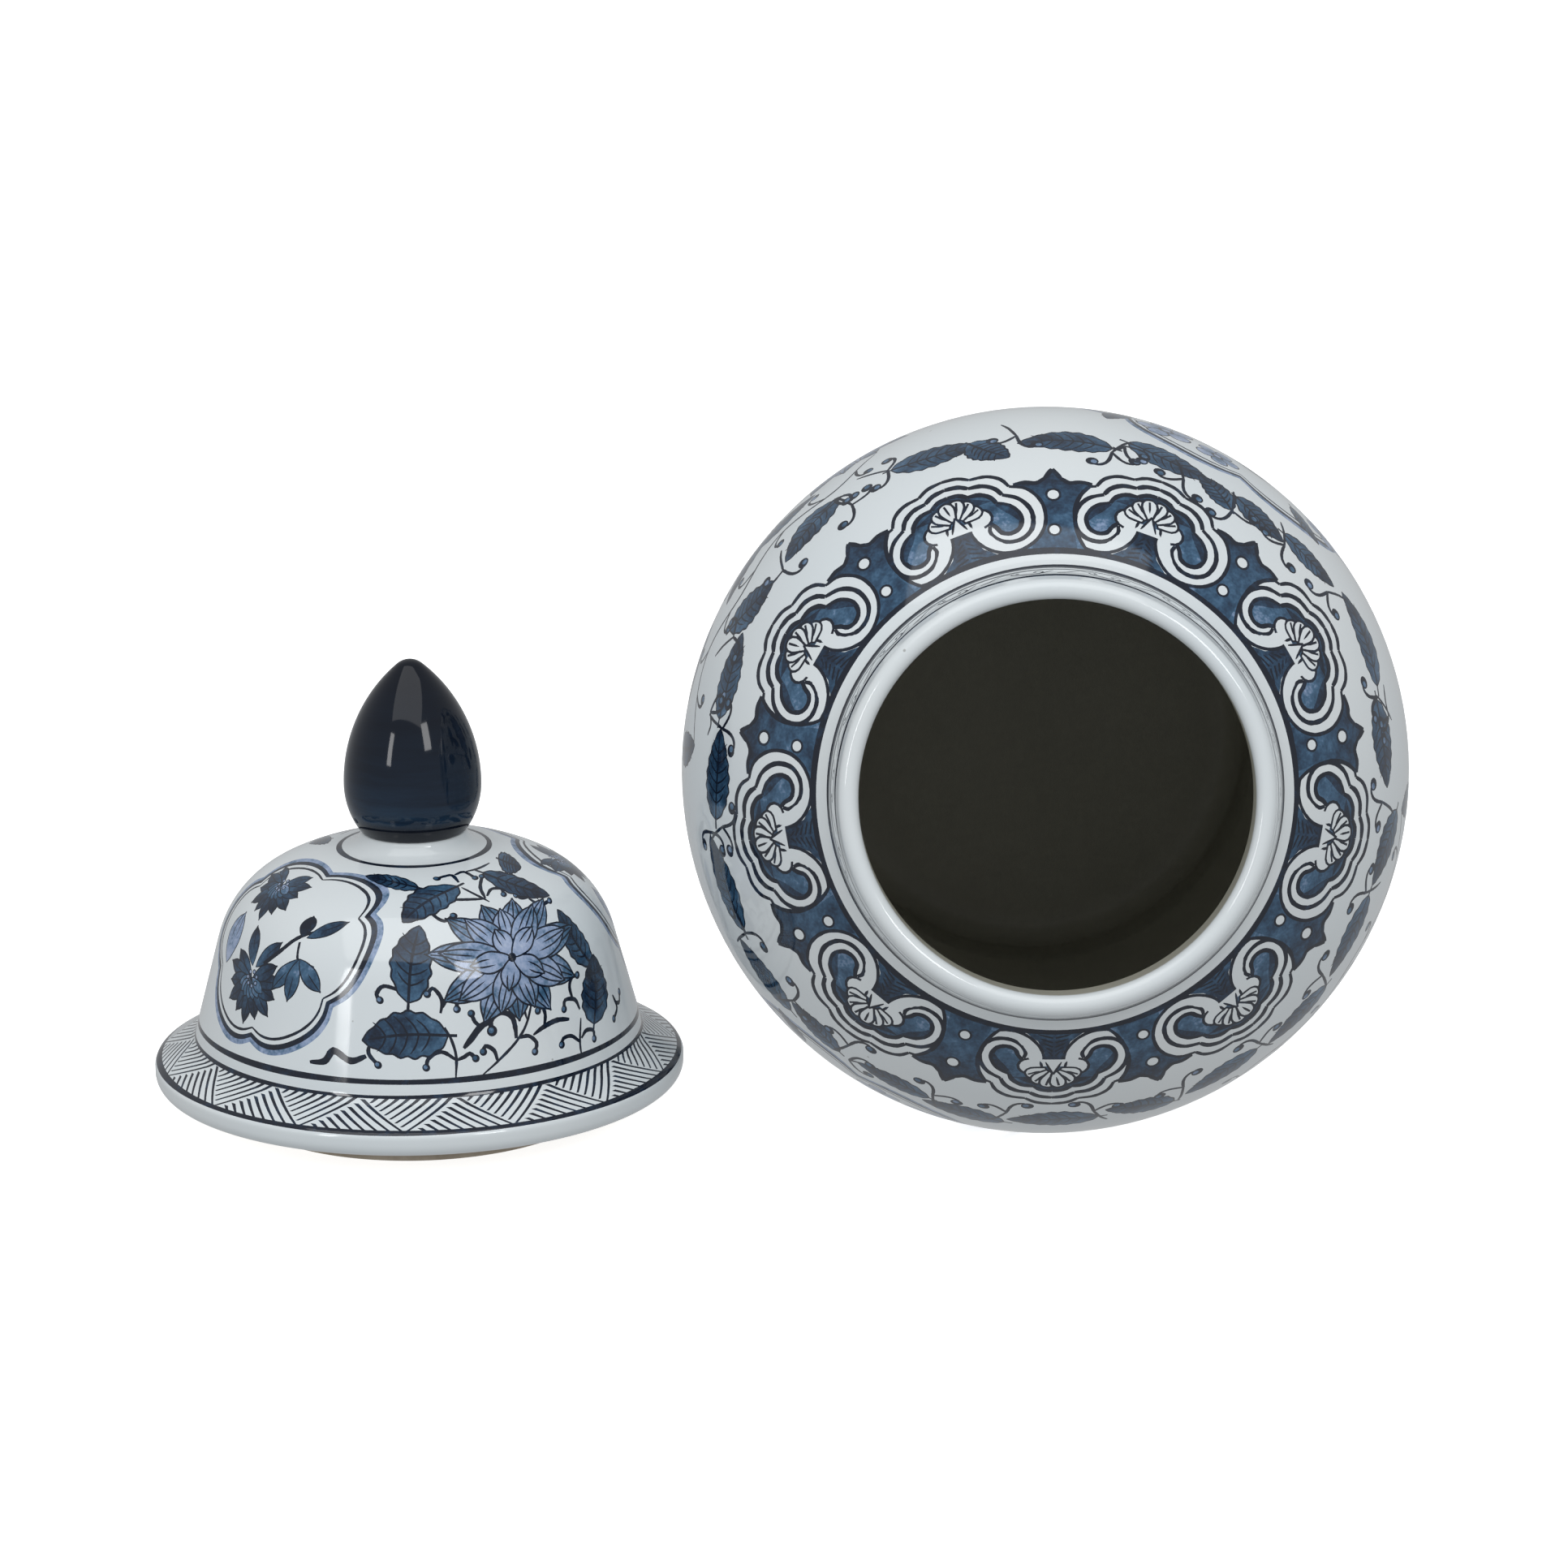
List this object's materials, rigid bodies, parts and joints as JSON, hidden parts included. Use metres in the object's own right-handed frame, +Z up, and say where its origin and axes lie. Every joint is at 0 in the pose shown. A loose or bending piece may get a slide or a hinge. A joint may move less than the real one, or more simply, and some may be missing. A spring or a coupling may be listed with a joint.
{
  "type": "ginger jar",
  "caption": "Lidded baluster ginger jar lying on its side with its domed lid and bud knob standing beside it",
  "frame": {"origin": "on the floor under the middle of the pair as it lies: jar on its side, lid standing to its left", "axes": "+Z up from the floor, +X from the lid to the jar, the jar's mouth faces -Y and is tipped up by its lean"},
  "size_m": [0.4538, 0.3474, 0.2594],
  "materials": {
    "jar_porcelain": "glossy",
    "lid_porcelain": "glossy",
    "cobalt_glaze": "glossy"
  },
  "bodies": {
    "jar": {"jar_body": "jar_porcelain"},
    "lid": {"lid_shell": "lid_porcelain", "lid_knob": "cobalt_glaze"}
  },
  "joints": [
    {"name": "lid_lift", "type": "slide", "parent": "jar", "child": "lid", "axis": [0, 0, 1], "range_m": [0, 0.28]}
  ]
}
